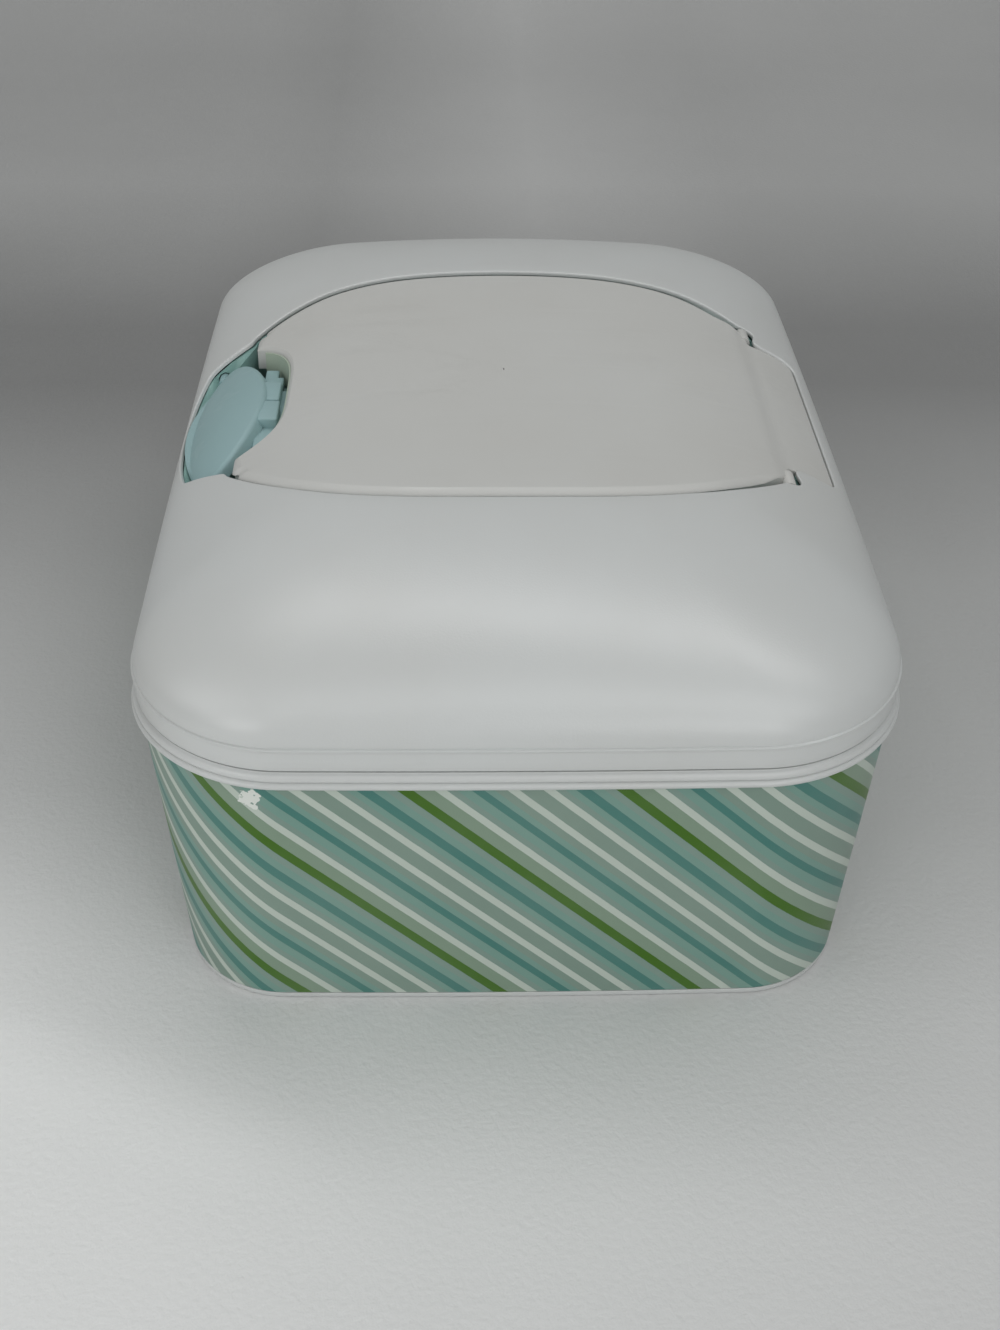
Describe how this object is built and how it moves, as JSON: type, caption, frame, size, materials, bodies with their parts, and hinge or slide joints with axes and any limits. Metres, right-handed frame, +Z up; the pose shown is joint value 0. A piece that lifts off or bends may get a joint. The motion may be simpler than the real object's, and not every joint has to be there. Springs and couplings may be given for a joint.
{
  "type": "wipes container",
  "caption": "Rounded tub with a lift-off domed lid, a hinged flip cover released by a push button, and a soft dispensing mouth under it",
  "frame": {"origin": "centre of the base, on the surface it stands on", "axes": "X along the container, -Y to the front with the button, +Y to the rear with the hinge, Z up"},
  "size_m": [0.1964, 0.138, 0.0843],
  "materials": {
    "tub_white": "satin moulded",
    "printed_sleeve": "printed diagonal stripes, satin film",
    "lid_white": "satin moulded",
    "cover_white": "satin moulded, slightly warmer white",
    "liner_natural": "natural, slightly clear",
    "frame_teal": "satin moulded",
    "button_teal": "satin moulded",
    "soft_mouth": "matte soft",
    "soft_seal": "matte soft",
    "spring_steel": "drawn wire"
  },
  "bodies": {
    "tub": {"tub_shell": "tub_white", "label_sleeve": "printed_sleeve"},
    "lid": {"lid_shell": "lid_white", "lid_seal": "soft_seal", "dispenser_frame": "frame_teal", "orifice_membrane": "soft_mouth", "collar_seal": "soft_seal", "button_spring": "spring_steel"},
    "cover": {"flip_cover": "cover_white", "cover_liner": "liner_natural"},
    "button": {"release_button": "button_teal"}
  },
  "joints": [
    {"name": "lid_lift", "type": "slide", "parent": "tub", "child": "lid", "axis": [0, 0, 1], "range_m": [0, 0.09]},
    {"name": "cover_hinge", "type": "hinge", "parent": "lid", "child": "cover", "pos_m": [0, 0.0527, 0.07605], "axis": [-1, 0, 0], "range_deg": [0, 100]},
    {"name": "button_press", "type": "hinge", "parent": "lid", "child": "button", "pos_m": [0, -0.061, 0.06982], "axis": [-1, 0, 0], "range_deg": [0, 4], "stiffness_Nm_per_rad": 0.3, "springref_deg": -2.86, "deforming": ["button_spring"]}
  ]
}
